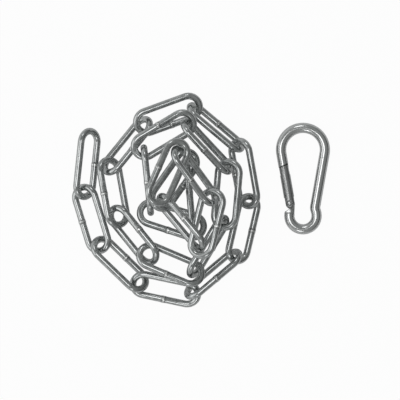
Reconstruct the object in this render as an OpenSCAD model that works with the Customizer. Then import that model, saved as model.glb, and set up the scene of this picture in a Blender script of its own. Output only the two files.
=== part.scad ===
// Welded long-link chain laid in a loose spiral, with a spring snap hook lying beside it.
// Units are millimetres. The set lies on the XY plane, and the origin is the middle of its base.

/* [Chain] */
// Diameter of the wire that the links are bent from
link_wire = 3; // [2.4:0.1:3.3]
// Length of the opening inside a link, which is also the pitch of the pulled chain
link_pitch = 26; // [22:0.5:30]
// Width of the opening inside a link
link_gap = 7; // [6.4:0.1:8]
// How far the weld bead stands out from the wire
weld_rise = 0.15; // [0.05:0.05:0.3]
// Length of the weld bead along the wire
weld_length = 2.4; // [1.5:0.1:4]

/* [Hook] */
// Diameter of the wire that the hook is bent from
hook_wire = 4.5; // [4:0.1:5]
// Bend radius of the wide end, to the middle of the wire
wide_r = 9.65; // [9:0.05:11]
// Bend radius of the narrow end, to the middle of the wire
narrow_r = 6; // [5.5:0.1:6.5]
// Distance between the centres of the two ends
hook_reach = 29; // [27:0.5:32]
// Lean of each leg, in degrees
leg_lean = 10; // [8:0.5:11]
// Bend radius where the plain leg turns out into the narrow end
waist_r = 3; // [2.8:0.1:8]
// Length of straight wire between the waist and the narrow end
waist_run = 1; // [0.5:0.1:2]
// How far round the narrow end the wire runs on past its widest point, in degrees
tail_turn = 12; // [8:1:18]
// Free space between the chain and the hook
hook_space = 6.7; // [3:0.1:15]
// How far the wide end's centre lies above the middle of the set
hook_up = 22.1; // [10:0.1:30]

/* [Gate] */
// Diameter of the gate's rod
gate_d = 4.5; // [4.2:0.1:5]
// Distance from the rivet to the slanted latch cut
gate_length = 16.6; // [15:0.1:18]
// Length of straight wire at the hook's nose, above the latch cut
nose_length = 5.4; // [4:0.1:7]
// Slant of the latch cut, in degrees
latch_slant = 14; // [10:1:25]
// Free space at the latch cut
latch_clear = 0.3; // [0.15:0.05:0.6]
// Full swing of the gate, in degrees
gate_swing = 30; // [15:1:32]
// Thickness of the flattened tongue and of the latch blade
flat_thick = 1.6; // [1.2:0.1:1.8]
// Free space at each side of the flattened pieces
slot_clear = 0.2; // [0.1:0.05:0.3]
// Width of the tongue's head
tongue_w = 3; // [2.8:0.1:3.2]
// Height of the tongue's head above the rivet
tongue_top = 1.6; // [1.5:0.1:1.8]
// How far the tongue's neck reaches from the rivet towards the hook's inside
neck_in = 2.1; // [1.8:0.1:2.2]
// How far the tongue's neck reaches from the rivet towards the hook's outside
neck_out = 0.5; // [0.2:0.1:1.5]
// Slant of the shoulder where the neck widens into the wire, in degrees
neck_slant = 30; // [15:1:40]
// Diameter of the rivet
rivet_d = 1.6; // [1.4:0.1:2]
// Diameter of the rivet's heads
rivet_head_d = 2.4; // [2.2:0.1:3]
// Thickness of each rivet head
rivet_head_t = 0.45; // [0.3:0.05:0.6]
// Radial running clearance of the rivet, the plunger and the pins
run_clear = 0.05; // [0.02:0.01:0.1]

/* [Latch] */
// How far the latch blade reaches below the latch cut
blade_drop = 3.6; // [3.4:0.1:4.5]
// Width of the latch blade
blade_w = 4.2; // [3.4:0.1:4.2]
// Diameter of the catch pin
pin_d = 1; // [0.8:0.1:1.2]
// Free space between the catch pin and its notch
pin_clear = 0.35; // [0.25:0.05:0.4]
// Distance of the catch pin below the latch cut
pin_drop = 1.9; // [1.8:0.1:2.1]

/* [Spring] */
// Diameter of the bore that holds the spring and the plunger
bore_d = 2.6; // [2.4:0.1:2.8]
// Length of the plunger
plunger_length = 2.5; // [2:0.1:3]
// Least space between the plunger and the tongue at rest
plunger_clear = 0.2; // [0.15:0.05:0.3]
// Diameter of the spring's wire
spring_wire = 0.35; // [0.3:0.05:0.4]
// Distance between the spring's curls
spring_pitch = 0.85; // [0.85:0.05:1]
// Number of curls
spring_curls = 6; // [4:1:7]

/* [Hidden] */
$fn = 48;
// Tiny lap that joins the pieces of one solid
lap = 0.05;
// The link's shape: its bend radius to the middle of the wire, its straight legs and its full width
bend_r = (link_gap + link_wire) / 2;
leg = link_pitch + link_wire - 2 * bend_r;
link_w = link_gap + 2 * link_wire;

// How the links lie, from the free outer end to the free inner end. Each row is one link: its turn to the
// left from the link before, its roll about its own length, the height of its first joint, the free play
// at its last joint, and 1 if its weld is on its left leg or -1 if it is on its right leg.
lay = [
    [264, -45, 5.2, 1.2, 1],
    [23, 30, 5, 1.8, -1],
    [29, -38, 5, 2.2, 1],
    [32, 25, 5.5, 1.5, -1],
    [52, -62, 6, 0.8, -1],
    [37, 35, 6, 1.2, -1],
    [23, -40, 5.8, 0.6, 1],
    [40, 68, 6.6, 1, -1],
    [60, -15, 6.6, 2.5, 1],
    [31, 55, 6.4, 2.5, 1],
    [49, -35, 7, 4.5, -1],
    [29, 45, 8, 4.5, 1],
    [28, -20, 10, 2, -1],
    [82, 68, 10.5, 1, -1],
    [26, -20, 11.5, 1, 1],
    [48, 70, 13.5, 1, 1],
    [78, -15, 15.5, 0.8, -1],
    [65, 90, 15, 1.5, 1],
    [66, -10, 10, 2, -1],
    [113, 90, 12, 2, -1],
    [140, -22, 15.5, 2, 1],
    [75, 65, 20.5, 2, 1],
    [126, -20, 24, 2, -1],
    [50, 60, 25, 3, 1],
    [120, -20, 28, 2, -1]
];
last_height = 30;
free_play = 2;
links = len(lay);
// The rows' heights are those of a link this wide, and their play that of an opening this long
lay_w = 13;
lay_pitch = 26;
// Share of the roll that lifts a standing link's end bar off the flat link it hangs in
seat_lift = 0.25;

function roll(i) = i < 0 ? lay[0][1] - 90 : i < links ? lay[i][1] : lay[links - 1][1] - 90;
function heading(i) = i < 0 ? 0 : heading(i - 1) + lay[i][0];
function height(i) = (i < links ? lay[i][2] : last_height) * link_w / lay_w;
function play(i) = (i < 0 || i == links - 1 ? free_play : lay[i][3]) * link_pitch / lay_pitch;
function signed_square(a) = sin(a) * abs(sin(a));
// Distance from the middle of link i to the joint with its neighbour j
function seat(i, j) = (link_pitch - play(min(i, j))) / 2
    + bend_r / 2 * (pow(sin(roll(i)), 2) - pow(sin(roll(j)), 2));
// Height of link i over the joint that it shares with its neighbour j
function lift(i, j) = j < 0 || j >= links ? 0 : seat_lift * (signed_square(roll(j)) - signed_square(roll(i)));
function reach(i) = seat(i, i - 1) + seat(i, i + 1);
function climb(i) = height(i + 1) + lift(i, i + 1) - height(i) - lift(i, i - 1);
function slope(i) = asin(climb(i) / reach(i));
function ahead(i) = [cos(slope(i)) * cos(heading(i)), cos(slope(i)) * sin(heading(i)), sin(slope(i))];
// Plan place of the joint before link i, and the middle of link i, counted from the chain's first joint
function joint_xy(i) = i == 0 ? [0, 0] : joint_xy(i - 1) + reach(i - 1) * [ahead(i - 1)[0], ahead(i - 1)[1]];
joints = [for (i = [0:links - 1]) [joint_xy(i)[0], joint_xy(i)[1], height(i)]];
middles = [for (i = [0:links - 1]) joints[i] + [0, 0, lift(i, i - 1)] + seat(i, i - 1) * ahead(i)];
// The direction across link i, in the plane of its opening
function across(i) = [
    -sin(heading(i)) * cos(roll(i)) - cos(heading(i)) * sin(slope(i)) * sin(roll(i)),
    cos(heading(i)) * cos(roll(i)) - sin(heading(i)) * sin(slope(i)) * sin(roll(i)),
    cos(slope(i)) * sin(roll(i))
];
// Half of link i's size along axis k: its legs, its bends and its wire
function half_size(i, k) = abs(ahead(i)[k]) * leg / 2
    + bend_r * sqrt(pow(ahead(i)[k], 2) + pow(across(i)[k], 2)) + link_wire / 2;
chain_low = [for (k = [0:1]) min([for (i = [0:links - 1]) middles[i][k] - half_size(i, k)])];
chain_high = [for (k = [0:1]) max([for (i = [0:links - 1]) middles[i][k] + half_size(i, k)])];

// Places of the chain and of the hook's wide end, which set the origin in the middle of the set
hook_w = 2 * wide_r + hook_wire;
set_w = chain_high[0] - chain_low[0] + hook_space + hook_w;
chain_at = [-set_w / 2 - chain_low[0], -(chain_low[1] + chain_high[1]) / 2, 0];
hook_at = [set_w / 2 - hook_w / 2, hook_up, hook_wire / 2 + lap];

// The waist's centre, the length of the plain leg above it and the angle at which the narrow end starts
narrow_at = [0, -hook_reach];
leg_out = [cos(leg_lean), -sin(leg_lean)];
leg_up = [sin(leg_lean), cos(leg_lean)];
leg_inset = wide_r - hook_reach * sin(leg_lean);
bend_sum = narrow_r + waist_r;
waist_rise = sqrt(pow(bend_sum, 2) + pow(waist_run, 2) - pow(leg_inset + waist_r, 2));
waist_at = narrow_at + (leg_inset + waist_r) * leg_out + waist_rise * leg_up;
plain_leg = hook_reach * cos(leg_lean) - waist_rise;
waist_meet = atan2(waist_at[1] - narrow_at[1], waist_at[0] - narrow_at[0]) - atan(waist_run / bend_sum);

// The gate's own frame has its origin at the rivet, Y up the gate and X into the hook
rivet_drop = gate_length + nose_length;
rivet_at = rivet_drop * [sin(leg_lean), -cos(leg_lean)] - wide_r * [cos(leg_lean), sin(leg_lean)];
tail_at = narrow_at + narrow_r * [-cos(tail_turn), sin(tail_turn)];
slot_t = flat_thick + 2 * slot_clear;
tongue_corner = sqrt(pow(tongue_top, 2) + pow(tongue_w / 2, 2));
slot_top = tongue_corner + slot_clear;
gate_foot = gate_d / 8;
head_seat = gate_d / 2 - lap - rivet_head_t;
// How far the tongue's corner pushes the plunger up when the gate swings fully in
plunger_rise = tongue_top * cos(gate_swing) + tongue_w / 2 * sin(gate_swing) - tongue_top;
plunger_foot = tongue_top + plunger_clear;
spring_foot = plunger_foot + plunger_length + plunger_clear;
spring_length = spring_curls * spring_pitch + spring_wire;
spring_r = bore_d / 2 - 2 * run_clear - spring_wire / 2;
bore_top = spring_foot + spring_length + plunger_rise + plunger_clear;
pin_y = gate_length - pin_drop;
blade_foot = gate_length - blade_drop;

function link_name(i) = str("link_", i < 9 ? "0" : "", i + 1);
link_names = [for (i = [0:links - 1]) link_name(i)];

// One rounded bend of wire about the origin, from one angle to another, cut short by a trim at each end
module wire_bend(r, wire, from, to, trim = 0) {
    cut = trim / r * 180 / PI;
    rotate([0, 0, from + cut])
        rotate_extrude(angle = to - from - 2 * cut)
            translate([r, 0])
                circle(d = wire);
}

// A round bar along +Y, standing on the origin
module bar(d, length) {
    rotate([-90, 0, 0])
        cylinder(d = d, h = length);
}

// A flat plate in the XY plane, centred on it
module plate(size, from, thick) {
    translate([from[0], from[1], -thick / 2])
        cube([size[0], size[1], thick]);
}

// The bead left by the weld, about the X axis
module weld_bead() {
    skin = link_wire / 2;
    rotate([0, 90, 0])
        rotate_extrude()
            polygon([
                [0, -weld_length / 2],
                [skin - lap, -weld_length / 2],
                [skin + weld_rise, -weld_length / 4],
                [skin + weld_rise, weld_length / 4],
                [skin - lap, weld_length / 2],
                [0, weld_length / 2]
            ]);
}

// One link in its own plane: two legs, two bends and the weld on one leg
module link_body(weld_side) {
    for (side = [-1, 1])
        translate([-leg / 2, side * bend_r, 0])
            rotate([0, 90, 0])
                cylinder(d = link_wire, h = leg);
    for (turn = [0, 180])
        rotate([0, 0, turn])
            translate([leg / 2, 0, 0])
                wire_bend(bend_r, link_wire, -90, 90);
    translate([0, weld_side * bend_r, 0])
        weld_bead();
}

// Link i where it lies in the spiral
module link(i) {
    color("lightslategray")
        translate(chain_at + middles[i])
            rotate([0, 0, heading(i)])
                rotate([0, -slope(i), 0])
                    rotate([roll(i), 0, 0])
                        link_body(lay[i][4]);
}

// Puts the gate's frame where the rivet is
module at_gate() {
    translate(hook_at + [rivet_at[0], rivet_at[1], 0])
        rotate([0, 0, leg_lean])
            children();
}

// The space below the slanted latch cut, lowered by the given amount
module below_latch(drop) {
    side = 4 * gate_length;
    translate([0, gate_length - drop, 0])
        rotate([0, 0, latch_slant])
            translate([-side / 2, -side, -side / 2])
                cube(side);
}

// A straight run of the hook's wire along +Y, cut short by the lap at each end
module hook_bar(length) {
    translate([0, lap, 0])
        bar(hook_wire, length - 2 * lap);
}

// The knuckle that joins two runs of the hook's wire, a hair fatter than the wire
module knuckle() {
    sphere(d = hook_wire + 2 * lap);
}

// The bent wire of the hook, without its flattened ends
module hook_wire_run() {
    wire_bend(wide_r, hook_wire, -leg_lean, 180 + leg_lean, lap);
    rotate([0, 0, 180 + leg_lean])
        translate([wide_r, 0, 0])
            knuckle();
    translate(wide_r * leg_out)
        knuckle();
    translate(wide_r * leg_out - plain_leg * leg_up)
        rotate([0, 0, -leg_lean]) {
            hook_bar(plain_leg);
            knuckle();
        }
    translate(waist_at)
        wire_bend(waist_r, hook_wire, 180 - leg_lean, 180 + waist_meet, lap);
    translate(narrow_at) {
        rotate([0, 0, waist_meet])
            translate([narrow_r, 0, 0]) {
                knuckle();
                hook_bar(waist_run);
                translate([0, waist_run, 0])
                    knuckle();
            }
        wire_bend(narrow_r, hook_wire, -180 - tail_turn, waist_meet, lap);
    }
}

// The nose: straight wire down to the latch cut, and the notched blade that the catch pin sits in
module nose() {
    notch = pin_d / 2 + pin_clear;
    // the catch pin sinks this much on its arc before it is out of the notch
    pin_sink = pin_y - sqrt(pow(pin_y, 2) - pow(blade_w / 2, 2));
    difference() {
        translate([0, gate_length - gate_d, 0])
            bar(hook_wire, nose_length + gate_d - lap);
        below_latch(0);
    }
    difference() {
        plate([blade_w, blade_drop + gate_d / 4], [-blade_w / 2, blade_foot], flat_thick);
        translate([0, pin_y, -flat_thick])
            cylinder(r = notch, h = 2 * flat_thick);
        plate([blade_w, 2 * notch + pin_sink], [0, pin_y - notch - pin_sink], 2 * flat_thick);
    }
}

// The tongue: a flat head on the rivet, and the neck that joins it to the end of the wire
module tongue() {
    neck = [rivet_at[0] - tail_at[0], rivet_at[1] - tail_at[1]];
    neck_lean = atan2(neck[0], neck[1]) + leg_lean;
    neck_foot = norm(neck) + hook_wire / 4;
    shoulder = gate_foot + gate_d / 2 + slot_clear;
    shoulder_foot = shoulder + (neck_in - neck_out) * tan(neck_slant);
    head_foot = tongue_w / 2;
    difference() {
        union() {
            plate([tongue_w, tongue_top + head_foot], [-tongue_w / 2, -head_foot], flat_thick);
            rotate([0, 0, -neck_lean])
                linear_extrude(height = flat_thick, center = true)
                    polygon([
                        [-neck_out, 0],
                        [neck_in, 0],
                        [neck_in, -neck_foot],
                        [-neck_in, -neck_foot],
                        [-neck_in, -shoulder_foot],
                        [-neck_out, -shoulder]
                    ]);
        }
        translate([0, 0, -flat_thick])
            cylinder(d = rivet_d + 2 * run_clear, h = 2 * flat_thick);
    }
}

module hook_frame() {
    color("slategray") {
        translate(hook_at)
            hook_wire_run();
        at_gate()
            nose();
        at_gate()
            tongue();
    }
}

// The gate's rod, slotted at both ends and bored for the spring
module gate() {
    slot_side = 2 * gate_d;
    slot_foot = blade_foot - 2 * slot_clear;
    color("lightsteelblue")
        at_gate()
            difference() {
                intersection() {
                    union() {
                        translate([0, -gate_foot, 0])
                            bar(gate_d, gate_length + gate_d);
                        translate([0, -gate_foot, 0])
                            sphere(d = gate_d);
                    }
                    below_latch(latch_clear);
                }
                plate([slot_side, slot_top + gate_d], [-slot_side / 2, -gate_d], slot_t);
                plate([slot_side, blade_drop + gate_d], [-slot_side / 2, slot_foot], slot_t);
                translate([0, tongue_top - slot_clear, 0])
                    bar(bore_d, bore_top - tongue_top + slot_clear);
                cylinder(d = rivet_d + run_clear, h = 2 * gate_d, center = true);
                for (face = [0, 180])
                    rotate([face, 0, 0])
                        translate([0, 0, head_seat - run_clear])
                            cylinder(d = rivet_head_d + 2 * run_clear, h = gate_d);
                translate([0, pin_y, 0])
                    cylinder(d = pin_d + run_clear, h = 2 * gate_d, center = true);
            }
}

module gate_rivet() {
    color("gainsboro")
        at_gate() {
            cylinder(d = rivet_d, h = 2 * head_seat + lap, center = true);
            for (face = [0, 180])
                rotate([face, 0, 0])
                    translate([0, 0, head_seat])
                        cylinder(d1 = rivet_head_d, d2 = rivet_head_d - rivet_head_t, h = rivet_head_t);
        }
}

module catch_pin() {
    color("gainsboro")
        at_gate()
            translate([0, pin_y, 0])
                cylinder(d = pin_d, h = gate_d - 4 * lap, center = true);
}

module gate_plunger() {
    color("darkgray")
        at_gate()
            translate([0, plunger_foot, 0])
                bar(bore_d - 2 * run_clear, plunger_length);
}

// Points of the spring: rings of wire along a helix about the Y axis
curl_rings = 8;
spring_rings = curl_rings * spring_curls;
spring_sides = 6;
function spring_turn(k) = 360 * k / curl_rings;
function spring_middle(k) = [
    spring_r * cos(spring_turn(k)),
    spring_foot + spring_wire / 2 + spring_pitch * k / curl_rings,
    spring_r * sin(spring_turn(k))
];
function spring_ring(k) = [
    for (s = [0:spring_sides - 1])
        spring_middle(k) + spring_wire / 2 * [
            cos(360 * s / spring_sides) * cos(spring_turn(k)),
            sin(360 * s / spring_sides),
            cos(360 * s / spring_sides) * sin(spring_turn(k))
        ]
];
spring_points = [for (k = [0:spring_rings]) each spring_ring(k)];
curl_steps = [for (k = [curl_rings:spring_rings]) norm(spring_middle(k) - spring_middle(k - curl_rings))];
echo(spring_least_gap = min(curl_steps) - spring_wire);

module gate_spring() {
    n = spring_sides;
    last = n * spring_rings;
    color("dimgray")
        at_gate()
            polyhedron(
                points = spring_points,
                faces = concat(
                    [for (s = [1:n - 2]) [0, s, s + 1]],
                    [for (s = [1:n - 2]) [last, last + s + 1, last + s]],
                    [
                        for (k = [0:spring_rings - 1], s = [0:n - 1])
                            [k * n + s, (k + 1) * n + s, k * n + (s + 1) % n]
                    ],
                    [
                        for (k = [0:spring_rings - 1], s = [0:n - 1])
                            [k * n + (s + 1) % n, (k + 1) * n + s, (k + 1) * n + (s + 1) % n]
                    ]
                )
            );
}

for (i = [0:links - 1])
    link(i);
hook_frame();
gate();
gate_rivet();
catch_pin();
gate_plunger();
gate_spring();
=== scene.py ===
import math

import bmesh
import bpy
import numpy as np
from mathutils import Matrix, Vector


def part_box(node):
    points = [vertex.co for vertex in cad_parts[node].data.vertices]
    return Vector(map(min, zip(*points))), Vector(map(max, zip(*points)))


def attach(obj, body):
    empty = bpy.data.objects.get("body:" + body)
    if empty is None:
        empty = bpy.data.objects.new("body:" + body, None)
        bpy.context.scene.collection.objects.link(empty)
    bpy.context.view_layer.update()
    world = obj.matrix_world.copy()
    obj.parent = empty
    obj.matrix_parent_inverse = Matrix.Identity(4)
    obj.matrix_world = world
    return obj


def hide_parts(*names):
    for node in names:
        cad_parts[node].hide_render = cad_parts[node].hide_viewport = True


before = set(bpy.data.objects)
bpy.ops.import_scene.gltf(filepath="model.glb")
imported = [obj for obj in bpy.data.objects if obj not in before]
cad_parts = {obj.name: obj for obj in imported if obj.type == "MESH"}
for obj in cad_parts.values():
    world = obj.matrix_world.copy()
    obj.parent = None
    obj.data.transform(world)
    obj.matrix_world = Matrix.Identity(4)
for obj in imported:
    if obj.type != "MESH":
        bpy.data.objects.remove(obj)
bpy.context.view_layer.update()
mm = 0.001


# The chain's links. Each is 3 mm steel wire bent into a long loop, butt-welded in the middle of one leg
# and barrel-plated with bright zinc after welding, so the weld is plated too. It hangs in its neighbours.
link_r = 1.5 * mm
link_bend = 5 * mm
link_half_leg = 9.5 * mm
link_sides = 32
bend_steps = 28
# Rings of the weld along the leg: place from its middle in mm, and radius against the wire's
weld_rings = [(-1.25, 1.0), (-0.95, 1.03), (-0.65, 1.04), (-0.45, 1.07), (-0.2, 1.1),
              (0.2, 1.1), (0.45, 1.07), (0.65, 1.04), (0.95, 1.03), (1.25, 1.0)]
weld_half = 1.25
weld_lump = 0.35


def linear(code):
    """A hex sRGB colour as linear RGBA."""
    parts = [int(code[k:k + 2], 16) / 255 for k in (1, 3, 5)]
    return [c / 12.92 if c <= 0.04045 else ((c + 0.055) / 1.055) ** 2.4 for c in parts] + [1]


def add_node(tree, kind, settings={}, values={}, links={}):
    """Adds a node with its settings, the values of its sockets and the links that reach them."""
    node = tree.nodes.new(kind)
    for name, value in settings.items():
        setattr(node, name, value)
    for name, value in values.items():
        node.inputs[name].default_value = value
    for name, source in links.items():
        tree.links.new(source, node.inputs[name])
    return node


def new_material(name):
    """An empty node material, and its tree."""
    material = bpy.data.materials.new(name)
    material.use_nodes = True
    material.node_tree.nodes.clear()
    return material, material.node_tree


def noise(tree, place, grain, detail, roughness=0.5):
    """A cloudy pattern from 0 to 1, with grains of about the given size."""
    values = {"Scale": 1 / grain, "Detail": detail, "Roughness": roughness}
    return add_node(tree, "ShaderNodeTexNoise", values=values, links={"Vector": place}).outputs["Fac"]


def stretch(tree, value, from_low, from_high, to_low=0, to_high=1):
    """The value, with one range stretched to another and held at its ends."""
    values = {"From Min": from_low, "From Max": from_high, "To Min": to_low, "To Max": to_high}
    return add_node(tree, "ShaderNodeMapRange", values=values, links={"Value": value}).outputs["Result"]


def mix(tree, share, first, second):
    """A colour between two others, each of them a hex code or a node's colour."""
    values, links = {}, {0: share}
    for socket, colour in ((6, first), (7, second)):
        if isinstance(colour, str):
            values[socket] = linear(colour)
        else:
            links[socket] = colour
    return add_node(tree, "ShaderNodeMix", {"data_type": "RGBA"}, values, links).outputs[2]


def reckon(tree, operation, values, links):
    """One step of arithmetic on numbers and the values of other nodes."""
    return add_node(tree, "ShaderNodeMath", {"operation": operation}, values, links).outputs[0]


def metal(tree, tone, gloss, height=None, strength=0, depth=0):
    """Ends a material as bare metal of that colour and roughness, with a fine relief if it has a height."""
    links = {"Base Color": tone, "Roughness": gloss}
    if height:
        relief = add_node(tree, "ShaderNodeBump", values={"Strength": strength, "Distance": depth},
                          links={"Height": height})
        links["Normal"] = relief.outputs["Normal"]
    shader = add_node(tree, "ShaderNodeBsdfPrincipled", values={"Metallic": 1}, links=links).outputs["BSDF"]
    add_node(tree, "ShaderNodeOutputMaterial", links={"Surface": shader})


# Bright zinc plate on drawn wire: a clear grey metal, clouded where the bath left it thicker, with fine
# pitting, duller shoulders at the weld with a painted highlight across the bead between them, and burnished
# where the links rub in the bends.
link_zinc, tree = new_material("bright_zinc_plated_wire")
cloud_size, pit_size = 2.5 * mm, 0.35 * mm
place = add_node(tree, "ShaderNodeTexCoord").outputs["Object"]
clouds = noise(tree, place, cloud_size, 4, 0.6)
pits = noise(tree, place, pit_size, 3, 0.55)
weld_mark = add_node(tree, "ShaderNodeAttribute", {"attribute_name": "weld"}).outputs["Fac"]
rub_mark = add_node(tree, "ShaderNodeAttribute", {"attribute_name": "rub"}).outputs["Fac"]
tone = mix(tree, stretch(tree, clouds, 0.35, 0.65), "#b3b5b5", "#cdcfcf")
tone = mix(tree, stretch(tree, weld_mark, 0, 0.4), tone, "#a2a3a3")
# painted highlight: the middle of the weld bead is painted pale, for the bright glint across the leg
tone = mix(tree, stretch(tree, weld_mark, 0.5, 0.9), tone, "#eeefee")
tone = mix(tree, rub_mark, tone, "#d2d4d3")
gloss = stretch(tree, clouds, 0.3, 0.7, 0.12, 0.22)
gloss = reckon(tree, "MULTIPLY_ADD", {1: 0.1}, {0: weld_mark, 2: gloss})
metal(tree, tone, gloss, pits, 0.04, 0.03 * mm)


def lie_of_link(node):
    """The place of a link of the frame: X along it, Y across its opening, away from its weld."""
    points = np.array([v.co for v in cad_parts[node].data.vertices])
    middle = points.mean(0)
    axes = np.linalg.eigh(np.cov((points - middle).T))[1][:, ::-1]
    local = (points - middle) @ axes
    local[:, 0] -= (local[:, 0].min() + local[:, 0].max()) / 2
    weld_side = local[np.abs(local[:, 0]) < 1.5 * mm, 1].mean()
    ends = (points - middle)[np.abs(local[:, 0]) > 4 * mm] @ axes
    middle = middle + axes @ ((ends.min(0) + ends.max(0)) / 2)
    if weld_side > 0:
        axes[:, 1] *= -1
    axes[:, 2] = np.cross(axes[:, 0], axes[:, 1])
    return Matrix.Translation(Vector(middle)) @ Matrix(axes.tolist()).to_4x4()


def wire_ring(bm, radius, sides, spot):
    """The edges of the first ring of a wire."""
    verts = bmesh.ops.create_circle(bm, segments=sides, radius=radius, matrix=spot)["verts"]
    return list({e for v in verts for e in v.link_edges})


def ring_verts(edges):
    return list({v for e in edges for v in e.verts})


def last_ring(made):
    """The edges between the new vertices of a step."""
    verts = {g for g in made if isinstance(g, bmesh.types.BMVert)}
    return [g for g in made if isinstance(g, bmesh.types.BMEdge) and verts.issuperset(g.verts)]


def run_on(bm, edges, by):
    """Draws the ring on in a straight line."""
    edges = last_ring(bmesh.ops.extrude_edge_only(bm, edges=edges)["geom"])
    bmesh.ops.translate(bm, verts=ring_verts(edges), vec=by)
    return edges


def bend_on(bm, edges, centre, degrees, steps):
    """Bends the ring on about an upright axis."""
    made = bmesh.ops.spin(bm, geom=edges + ring_verts(edges), cent=centre, axis=(0, 0, 1), steps=steps,
                          angle=math.radians(degrees))
    return last_ring(made["geom_last"])


def settle(bm, name, material, crease=40):
    """Closes the mesh and makes it a piece of the scene, smooth up to the crease angle."""
    bmesh.ops.remove_doubles(bm, verts=bm.verts, dist=0.002 * mm)
    bmesh.ops.recalc_face_normals(bm, faces=bm.faces)
    mesh = bpy.data.meshes.new(name)
    bm.to_mesh(mesh)
    bm.free()
    mesh.materials.append(material)
    mesh.shade_smooth()
    mesh.set_sharp_from_angle(angle=math.radians(crease))
    piece = bpy.data.objects.new(name, mesh)
    bpy.context.scene.collection.objects.link(piece)
    return piece


link_nodes = sorted(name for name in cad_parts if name.startswith("link_"))
for number, node in enumerate(link_nodes):
    bm = bmesh.new()
    weld_layer = bm.verts.layers.float.new("weld")
    rub_layer = bm.verts.layers.float.new("rub")
    start = Matrix.Translation((-link_half_leg, -link_bend, 0)) @ Matrix.Rotation(math.radians(90), 4, "Y")
    ring = wire_ring(bm, link_r, link_sides, start)
    reached, wide, tall = -link_half_leg, 1, 1
    for step, (spot, swell) in enumerate(weld_rings):
        ring = run_on(bm, ring, (spot * mm - reached, 0, 0))
        reached, last_wide, last_tall = spot * mm, wide, tall
        lump = weld_lump * (swell - 1)
        wide = swell + lump * math.sin(2.1 * number + 1.3 * step)
        tall = swell + lump * math.cos(1.7 * number + 0.9 * step)
        bmesh.ops.scale(bm, vec=(1, wide / last_wide, tall / last_tall), verts=ring_verts(ring),
                        space=Matrix.Translation((-reached, link_bend, 0)))
        for vert in ring_verts(ring):
            vert[weld_layer] = max(0, 1 - abs(spot) / weld_half)
    ring = run_on(bm, ring, (link_half_leg - reached, 0, 0))
    ring = bend_on(bm, ring, (link_half_leg, 0, 0), 180, bend_steps)
    ring = run_on(bm, ring, (-2 * link_half_leg, 0, 0))
    bend_on(bm, ring, (-link_half_leg, 0, 0), 180, bend_steps)
    for vert in bm.verts:
        past = abs(vert.co.x) - link_half_leg
        out = math.hypot(past, vert.co.y)
        if past > 0 and out < link_bend:
            vert[rub_layer] = (link_bend - out) / link_r * past / out
    bmesh.ops.transform(bm, matrix=lie_of_link(node), verts=bm.verts)
    piece = settle(bm, "wire_" + node, link_zinc)
    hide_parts(node)
    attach(piece, node)


# The hook's frame: one length of 4.5 mm steel wire bent into a pear, with a wide end for the rope, a plain
# leg with a sharp set at its foot, and a narrow end. Its nose is cut on the slant and milled to a notched
# blade for the latch, its tail is pressed to a flat tongue for the rivet, and all of it is zinc plated.
hook_r = 2.25 * mm
hook_sides = 40
wide_bend = 9.65 * mm
narrow_bend = 6 * mm
hook_reach = 29 * mm
waist_bend = 3 * mm
waist_run = 1 * mm
lean = 10
tail_turn = 12
nose_length = 5.4 * mm
# length of the band at the nose's end that is painted dark, as painted shade in the latch gap
shade_band = 0.4 * mm
gate_length = 16.6 * mm
latch_slant = 14
blade_thick = 1.6 * mm
plate_edge = 0.15 * mm
blade_half = 2.1 * mm
blade_drop = 3.6 * mm
pin_drop = 1.9 * mm
notch_r = 0.85 * mm
tongue_half = 1.5 * mm
tongue_top = 1.6 * mm
rivet_hole_r = 0.85 * mm
neck_top = 1.1 * mm
neck_in = 2.1 * mm
neck_out = 0.5 * mm
neck_slant = 30
shoulder = 3 * mm


def smooth_zinc(name, dark, pale, least_rough, most_rough):
    """Zinc on smooth wire: long soft clouds, a few fine scratches from handling and a light grain left by
    the polishing drum. Places marked for painted shade are painted dark."""
    material, tree = new_material(name)
    cloud_size, grain_size, scratch_size = 5 * mm, 0.25 * mm, 7.2 * mm
    place = add_node(tree, "ShaderNodeTexCoord").outputs["Object"]
    clouds = noise(tree, place, cloud_size, 3)
    grain = noise(tree, place, grain_size, 2)
    drawn_out = add_node(tree, "ShaderNodeMapping", values={"Rotation": (0, 0, 0.6), "Scale": (1, 14, 4)},
                         links={"Vector": place}).outputs["Vector"]
    scratches = stretch(tree, noise(tree, drawn_out, scratch_size, 2), 0.66, 0.74)
    # painted shade: the marked places, the nose's end at the latch gap and the plates in the gate's slots,
    # are painted dark
    painted_shade = add_node(tree, "ShaderNodeAttribute", {"attribute_name": "painted_shade"}).outputs["Fac"]
    tone = mix(tree, clouds, dark, pale)
    tone = mix(tree, scratches, tone, "#a6a8a7")
    tone = mix(tree, painted_shade, tone, "#3a3b3b")
    gloss = stretch(tree, clouds, 0.3, 0.7, least_rough, most_rough)
    gloss = reckon(tree, "MULTIPLY_ADD", {1: 0.12}, {0: scratches, 2: gloss})
    metal(tree, tone, gloss, grain, 0.05, 0.02 * mm)
    return material


# Brighter and more even than the chain
hook_zinc = smooth_zinc("polished_zinc_plated_wire", "#cbcccc", "#dfe0e0", 0.14, 0.22)


def plan(degrees, length=1):
    """A vector in the hook's plane."""
    return Vector((length * math.cos(math.radians(degrees)), length * math.sin(math.radians(degrees)), 0))


def cap_ring(bm, edges, round_off):
    """Closes the end of a wire with a flat face and breaks its edge."""
    bmesh.ops.contextual_create(bm, geom=edges)
    bmesh.ops.bevel(bm, geom=edges, offset=round_off, segments=3, profile=0.5, affect="EDGES", material=-1)


def draw_line(bm, corners):
    """A flat line through the corners."""
    verts = [bm.verts.new((x, y, 0)) for x, y in corners]
    for pair in zip(verts, verts[1:]):
        bm.edges.new(pair)
    return verts


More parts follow.
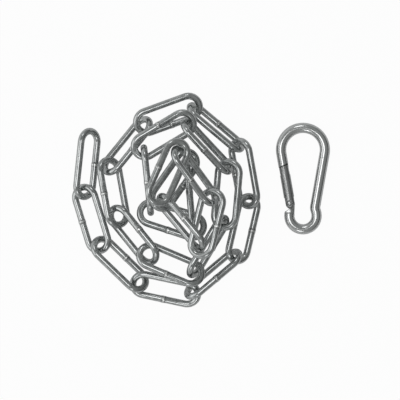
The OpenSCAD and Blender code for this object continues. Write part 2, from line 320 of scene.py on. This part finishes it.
def join_plate(bm, plate, spot, shade_share):
    """Fills a plate's outline, thickens it about its plane, breaks its edges and joins it to the wire,
    painted dark by the given share as painted shade.
    """
    bmesh.ops.remove_doubles(plate, verts=plate.verts, dist=0.002 * mm)
    low_verts = plate.verts[:]
    filled = bmesh.ops.triangle_fill(plate, use_beauty=True, edges=plate.edges)["geom"]
    faces = [g for g in filled if isinstance(g, bmesh.types.BMFace)]
    made = bmesh.ops.extrude_face_region(plate, geom=faces)["geom"]
    top = [g for g in made if isinstance(g, bmesh.types.BMVert)]
    bmesh.ops.translate(plate, verts=top, vec=(0, 0, blade_thick / 2))
    bmesh.ops.translate(plate, verts=low_verts, vec=(0, 0, -blade_thick / 2))
    edges = [e for e in plate.edges if e.calc_face_angle(0) > 0.6]
    bmesh.ops.bevel(plate, geom=edges, offset=plate_edge, segments=2, profile=0.5, affect="EDGES",
                    material=-1)
    bmesh.ops.transform(plate, matrix=spot, verts=plate.verts)
    flat = bpy.data.meshes.new("plate")
    plate.to_mesh(flat)
    plate.free()
    wire_verts = set(bm.verts)
    bm.from_mesh(flat)
    bpy.data.meshes.remove(flat)
    # painted shade: each new vertex of the plate carries its share of the dark paint
    for vert in set(bm.verts) - wire_verts:
        vert[painted_shade_layer] = shade_share


low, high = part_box("hook_frame")
hook_at = Vector(((low.x + high.x) / 2, high.y - wide_bend - hook_r, (low.z + high.z) / 2))
narrow_at = Vector((0, -hook_reach, 0))
leg_inset = wide_bend - hook_reach * math.sin(math.radians(lean))
bend_sum = narrow_bend + waist_bend
waist_rise = math.sqrt(bend_sum ** 2 + waist_run ** 2 - (leg_inset + waist_bend) ** 2)
waist_at = narrow_at + plan(-lean, leg_inset + waist_bend) + plan(90 - lean, waist_rise)
waist_line = waist_at - narrow_at
waist_meet = math.degrees(math.atan2(waist_line.y, waist_line.x) - math.atan(waist_run / bend_sum))
plain_leg = hook_reach * math.cos(math.radians(lean)) - waist_rise
rivet_at = plan(180 + lean, wide_bend) + plan(lean - 90, nose_length + gate_length)

bm = bmesh.new()
# how dark each place of the hook is painted, as painted shade
painted_shade_layer = bm.verts.layers.float.new("painted_shade")
tail_angle = 180 - tail_turn
tail_at = narrow_at + plan(tail_angle, narrow_bend)
on_edge = Matrix.Rotation(math.radians(90), 4, "X")
at_tail = Matrix.Translation(tail_at) @ Matrix.Rotation(math.radians(tail_angle), 4, "Z")
tail_ring = wire_ring(bm, hook_r, hook_sides, at_tail @ on_edge)
ring = bend_on(bm, tail_ring, narrow_at, 360 + waist_meet - tail_angle, 36)
ring = run_on(bm, ring, plan(waist_meet + 90, waist_run))
ring = bend_on(bm, ring, waist_at, -waist_meet - lean, 10)
ring = run_on(bm, ring, plan(90 - lean, plain_leg))
ring = bend_on(bm, ring, (0, 0, 0), 180 + 2 * lean, 48)
band_ring = run_on(bm, ring, plan(lean - 90, nose_length - shade_band))
nose_ring = run_on(bm, band_ring, plan(lean - 90, shade_band))
for vert in ring_verts(band_ring) + ring_verts(nose_ring):
    inward = plan(lean).dot(vert.co - rivet_at)
    vert.co += plan(lean + 90, inward * math.tan(math.radians(latch_slant)))
# painted shade: the band at the nose's end is painted fully dark, so that the latch gap shows dark
for vert in ring_verts(nose_ring):
    vert[painted_shade_layer] = 1
cap_ring(bm, tail_ring, 0.2 * mm)
cap_ring(bm, nose_ring, 0.1 * mm)
at_gate = Matrix.Translation(hook_at + rivet_at) @ Matrix.Rotation(math.radians(lean), 4, "Z")
bmesh.ops.translate(bm, verts=bm.verts, vec=hook_at)

# the latch blade, in the gate's own frame, with the catch pin's notch open towards the inside
pin_y = gate_length - pin_drop
pin_sink = pin_y - math.sqrt(pin_y ** 2 - blade_half ** 2)
blade_foot, blade_head = gate_length - blade_drop, gate_length + 1.1 * mm
blade = bmesh.new()
rim = draw_line(blade, [(0, pin_y + notch_r), (blade_half, pin_y + notch_r), (blade_half, blade_head),
                        (-blade_half, blade_head), (-blade_half, blade_foot), (blade_half, blade_foot),
                        (blade_half, pin_y - notch_r - pin_sink), (0, pin_y - notch_r)])
bmesh.ops.spin(blade, geom=[rim[-1]], cent=(0, pin_y, 0), axis=(0, 0, 1), steps=12,
               angle=math.radians(-180))
# painted shade: the blade is painted fully dark in the gate's upper slot
join_plate(bm, blade, at_gate, 1)

# the tongue's head on the rivet, and its neck, which keeps to the inside and widens into the tail
head = bmesh.new()
draw_line(head, [(-tongue_half, -tongue_half), (tongue_half, -tongue_half), (tongue_half, tongue_top),
                 (-tongue_half, tongue_top), (-tongue_half, -tongue_half)])
wire_ring(head, rivet_hole_r, 32, Matrix.Identity(4))
# painted shade: the tongue's head is painted half dark in the gate's lower slot
join_plate(bm, head, at_gate, 0.5)
neck_line = tail_at - rivet_at
neck_foot = neck_line.length + hook_r / 2
neck_turn = math.atan2(neck_line.x, -neck_line.y) - math.radians(lean)
shoulder_foot = shoulder + (neck_in - neck_out) * math.tan(math.radians(neck_slant))
neck = bmesh.new()
draw_line(neck, [(-neck_out, -neck_top), (neck_in, -neck_top), (neck_in, -neck_foot),
                 (-neck_in, -neck_foot), (-neck_in, -shoulder_foot), (-neck_out, -shoulder),
                 (-neck_out, -neck_top)])
# painted shade: the neck is painted a little dark
join_plate(bm, neck, at_gate @ Matrix.Rotation(neck_turn, 4, "Z"), 0.3)
hook_piece = settle(bm, "hook_wire", hook_zinc)
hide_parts("hook_frame")
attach(hook_piece, "hook")


# The gate: a rod of the same wire, rounded at the rivet and cut on the slant at the latch. Saw slots at
# both ends take the tongue and the latch blade, a bore from the foot holds the spring, and all is plated.
gate_r = 2.25 * mm
gate_foot = 0.56 * mm
latch_clear = 0.3 * mm
slot_half = 1 * mm
low_slot_top = 2.39 * mm
high_slot_foot = 12.6 * mm
bore_r = 1.3 * mm
bore_foot, bore_top = 1.4 * mm, 10.69 * mm
rivet_r = 0.8 * mm
rivet_head_r = 1.2 * mm
rivet_seat = 1.7 * mm
seat_depth = 2 * mm
pin_r = 0.5 * mm
rivet_fit, head_fit, pin_fit = 0.03 * mm, 0.05 * mm, 0.01 * mm
# The same plating as the frame's, duller from the machining
gate_zinc = smooth_zinc("dull_zinc_plated_rod", "#a6a7a7", "#c0c1c1", 0.26, 0.36)


def turned(bm, profile, axis, sides):
    """Turns an outline, given as a row of vertices, round an axis through the origin."""
    edges = [bm.edges.new(pair) for pair in zip(profile, profile[1:])]
    bmesh.ops.spin(bm, geom=edges + profile, cent=(0, 0, 0), axis=axis, steps=sides,
                   angle=math.radians(360), use_merge=True)
    bmesh.ops.remove_doubles(bm, verts=bm.verts, dist=0.002 * mm)


def cut_away(piece, bm):
    """Cuts the shape in the mesh out of the piece."""
    bmesh.ops.recalc_face_normals(bm, faces=bm.faces)
    mesh = bpy.data.meshes.new("cutter")
    bm.to_mesh(mesh)
    bm.free()
    cutter = bpy.data.objects.new("cutter", mesh)
    bpy.context.scene.collection.objects.link(cutter)
    cut = piece.modifiers.new("cut", "BOOLEAN")
    cut.object = cutter
    cut.operation = "DIFFERENCE"
    cut.solver = "EXACT"
    depsgraph = bpy.context.evaluated_depsgraph_get()
    shaped = bpy.data.meshes.new_from_object(piece.evaluated_get(depsgraph))
    piece.modifiers.clear()
    piece.data = shaped
    bpy.data.objects.remove(cutter)


bm = bmesh.new()
pole = bm.verts.new((0, -gate_foot - gate_r, 0))
dome = bmesh.ops.spin(bm, geom=[pole], cent=(0, -gate_foot, 0), axis=(0, 0, 1), steps=10,
                      angle=math.radians(90))
rim = [g for g in dome["geom_last"] if isinstance(g, bmesh.types.BMVert)][0]
top = bm.verts.new((gate_r, gate_length - latch_clear, 0))
bm.edges.new((rim, top))
bmesh.ops.spin(bm, geom=bm.verts[:] + bm.edges[:], cent=(0, 0, 0), axis=(0, 1, 0), angle=math.radians(360),
               steps=hook_sides, use_merge=True)
bmesh.ops.remove_doubles(bm, verts=bm.verts, dist=0.002 * mm)
top_edges = [e for e in bm.edges if e.is_boundary]
for vert in ring_verts(top_edges):
    vert.co.y += vert.co.x * math.tan(math.radians(latch_slant))
bmesh.ops.contextual_create(bm, geom=top_edges)
gate_piece = settle(bm, "gate_rod", gate_zinc)
for foot, top in ((-2 * gate_r, low_slot_top), (high_slot_foot, gate_length + 2 * gate_r)):
    bm = bmesh.new()
    size = Matrix.Diagonal((4 * gate_r, top - foot, 2 * slot_half, 1))
    bmesh.ops.create_cube(bm, size=1, matrix=Matrix.Translation((0, (foot + top) / 2, 0)) @ size)
    cut_away(gate_piece, bm)
through = 6 * mm
seat_z = rivet_seat + seat_depth / 2
for at_y, radius, at_z, depth in ((0, rivet_r + rivet_fit, 0, through),
                                  (pin_y, pin_r + pin_fit, 0, through),
                                  (0, rivet_head_r + head_fit, seat_z, seat_depth),
                                  (0, rivet_head_r + head_fit, -seat_z, seat_depth)):
    bm = bmesh.new()
    bmesh.ops.create_cone(bm, cap_ends=True, segments=32, radius1=radius, radius2=radius, depth=depth,
                          matrix=Matrix.Translation((0, at_y, at_z)))
    cut_away(gate_piece, bm)
bm = bmesh.new()
bore_middle = Matrix.Translation((0, (bore_foot + bore_top) / 2, 0))
bmesh.ops.create_cone(bm, cap_ends=True, segments=32, radius1=bore_r, radius2=bore_r,
                      depth=bore_top - bore_foot, matrix=bore_middle @ on_edge)
cut_away(gate_piece, bm)
gate_piece.data.transform(at_gate)
gate_piece.data.set_sharp_from_angle(angle=math.radians(35))
broken = gate_piece.modifiers.new("broken_edges", "BEVEL")
broken.limit_method = "ANGLE"
broken.angle_limit = math.radians(35)
broken.width = 0.08 * mm
broken.segments = 2
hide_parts("gate")
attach(gate_piece, "gate")


# The rivet and the catch pin: plain steel wire. The rivet's heads are spun over into seats in the gate's
# cheeks. The pin is pressed across the upper slot, dressed off and plated over with the gate.
# Bright steel: paler and smoother than the zinc, with fine rings where the head was spun.
pin_steel, tree = new_material("bright_spun_steel")
ring_size = 0.2 * mm
place = add_node(tree, "ShaderNodeTexCoord").outputs["Object"]
centred = add_node(tree, "ShaderNodeMapping", values={"Location": -(hook_at + rivet_at)},
                   links={"Vector": place}).outputs["Vector"]
rings = add_node(tree, "ShaderNodeTexWave", {"wave_type": "RINGS", "rings_direction": "Z"},
                 {"Scale": 0.3 / ring_size, "Distortion": 1.5, "Detail": 2},
                 {"Vector": centred}).outputs["Fac"]
tone = mix(tree, rings, "#b3b4b5", "#cfd0d0")
metal(tree, tone, stretch(tree, rings, 0, 1, 0.16, 0.28), rings, 0.2, 0.01 * mm)

# Outlines of half of the rivet and of the pin: radius and height in mm
head_lines = [(0, 2.2), (0.6, 2.18), (0.95, 2.08), (1.15, 1.92), (1.2, 1.76), (0.8, 1.76)]
pin_lines = [(0, 2.24), (0.42, 2.22), (0.5, 2.12)]
for name, node, lines, at_y, material in (("rivet", "gate_rivet", head_lines, 0, pin_steel),
                                          ("catch_pin_wire", "catch_pin", pin_lines, pin_y, gate_zinc)):
    bm = bmesh.new()
    profile = [bm.verts.new((r * mm, 0, z * mm)) for r, z in lines]
    profile += [bm.verts.new((r * mm, 0, -z * mm)) for r, z in reversed(lines)]
    turned(bm, profile, (0, 0, 1), 32)
    bmesh.ops.transform(bm, matrix=at_gate @ Matrix.Translation((0, at_y, 0)), verts=bm.verts)
    piece = settle(bm, name, material)
    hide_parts(node)
    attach(piece, "gate")


# The plunger and the spring in the gate's bore: a short turned steel pin with eased ends, which the coiled
# spring behind it presses on the tongue, so that the gate shuts by itself.
# Spring wire: dark drawn steel with a faint oily blue cast and draw marks.
spring_wire, tree = new_material("oiled_spring_wire")
mark_size = 0.3 * mm
place = add_node(tree, "ShaderNodeTexCoord").outputs["Object"]
marks = noise(tree, place, mark_size, 3)
tone = mix(tree, marks, "#4e5257", "#6d7074")
metal(tree, tone, stretch(tree, marks, 0, 1, 0.25, 0.45))

# Outline of the plunger: radius and height above the rivet in mm
plunger_lines = [(0, 1.8), (1.05, 1.8), (1.25, 2), (1.25, 4.15), (1.1, 4.3), (0, 4.3)]
bm = bmesh.new()
profile = [bm.verts.new((r * mm, y * mm, 0)) for r, y in plunger_lines]
turned(bm, profile, (0, 1, 0), 32)
bmesh.ops.transform(bm, matrix=at_gate, verts=bm.verts)
plunger = settle(bm, "plunger_pin", pin_steel)
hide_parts("gate_plunger")
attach(plunger, "plunger")

curl_r, curl_pitch, curls, curl_steps = 1.02 * mm, 0.85 * mm, 6, 24
spring_foot = 4.68 * mm
spring_r = 0.17 * mm
bm = bmesh.new()
first = wire_ring(bm, spring_r, 12, Matrix.Translation((curl_r, spring_foot, 0)))
made = bmesh.ops.spin(bm, geom=first + ring_verts(first), cent=(0, 0, 0), axis=(0, 1, 0),
                      steps=curls * curl_steps, angle=math.radians(-360 * curls),
                      dvec=(0, curl_pitch / curl_steps, 0))
for end in (first, last_ring(made["geom_last"])):
    bmesh.ops.contextual_create(bm, geom=end)
bmesh.ops.transform(bm, matrix=at_gate, verts=bm.verts)
spring = settle(bm, "closing_spring", spring_wire)
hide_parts("gate_spring")
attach(spring, "plunger")


# The floor: a sheet of white paper. It shows nearly white to the camera and keeps a faint shadow, and the
# metal sees it a little brighter than the lamps make it.
floor_half = 1.5
floor_drop = 0.02 * mm
camera_white = 0.96
mirror_white = 0.1
paper, tree = new_material("white_paper")
fibre_size = 3 * mm
place = add_node(tree, "ShaderNodeTexCoord").outputs["Object"]
tone = mix(tree, noise(tree, place, fibre_size, 3), "#f4f4f4", "#fbfbfb")
matt = add_node(tree, "ShaderNodeBsdfDiffuse", links={"Color": tone}).outputs["BSDF"]
glow = add_node(tree, "ShaderNodeEmission", values={"Color": (1, 1, 1, 1), "Strength": 1}).outputs[0]
ray = add_node(tree, "ShaderNodeLightPath").outputs
mirrored = reckon(tree, "MAXIMUM", {}, {0: ray["Is Glossy Ray"], 1: ray["Is Transmission Ray"]})
mirrored = reckon(tree, "MULTIPLY", {1: mirror_white}, {0: mirrored})
share = reckon(tree, "MULTIPLY_ADD", {1: camera_white}, {0: ray["Is Camera Ray"], 2: mirrored})
both = add_node(tree, "ShaderNodeMixShader", links={0: share, 1: matt, 2: glow}).outputs[0]
add_node(tree, "ShaderNodeOutputMaterial", links={"Surface": both})
bm = bmesh.new()
bmesh.ops.create_grid(bm, x_segments=1, y_segments=1, size=floor_half,
                      matrix=Matrix.Translation((0, 0, -floor_drop)))
floor = settle(bm, "floor", paper)


# The studio: a grey room, light on the left and dark on the right, so that each wire has a dark right side.
# A soft lamp overhead draws the bright streak, a wide one lights the left, and two small ones fill in.
lamp_distance = 0.8
world = bpy.data.worlds.new("studio")
bpy.context.scene.world = world
world.use_nodes = True
tree = world.node_tree
tree.nodes.clear()
sight = add_node(tree, "ShaderNodeTexCoord").outputs["Generated"]
sight = add_node(tree, "ShaderNodeSeparateXYZ", links={0: sight}).outputs
walls = mix(tree, stretch(tree, sight["X"], 1, -1), "#262727", "#e6e8e7")
room = mix(tree, stretch(tree, sight["Z"], 0.05, 0.85), walls, "#8e908f")
glow = add_node(tree, "ShaderNodeBackground", values={"Strength": 1}, links={"Color": room}).outputs[0]
add_node(tree, "ShaderNodeOutputWorld", links={"Surface": glow})


def soft_lamp(name, azimuth, elevation, size, watts):
    """A square soft lamp that looks at the middle of the set."""
    lamp = bpy.data.lights.new(name, "AREA")
    lamp.size = size
    lamp.energy = watts
    holder = bpy.data.objects.new(name, lamp)
    across = math.cos(math.radians(elevation))
    towards = Vector((across * math.cos(math.radians(azimuth)), across * math.sin(math.radians(azimuth)),
                      math.sin(math.radians(elevation))))
    holder.location = lamp_distance * towards
    holder.rotation_euler = towards.to_track_quat("Z", "Y").to_euler()
    bpy.context.scene.collection.objects.link(holder)


soft_lamp("over_lamp", 185, 78, 0.3, 0.58)
soft_lamp("left_lamp", 185, 32, 0.55, 0.7)
soft_lamp("front_lamp", 262, 42, 0.2, 0.3)
soft_lamp("back_lamp", 95, 42, 0.2, 0.3)


# The camera looks straight down, as in the photograph, which is 400 pixels wide. Each shows 0.44 mm of
# the set, and the set's middle lies one pixel to the right of the picture's.
pixel = 0.44 * mm
camera = bpy.data.cameras.new("camera")
camera.type = "ORTHO"
camera.ortho_scale = 400 * pixel
holder = bpy.data.objects.new("camera", camera)
holder.location = (-pixel, 0, 0.6)
bpy.context.scene.collection.objects.link(holder)
bpy.context.scene.camera = holder
bpy.context.scene.view_settings.view_transform = "Standard"
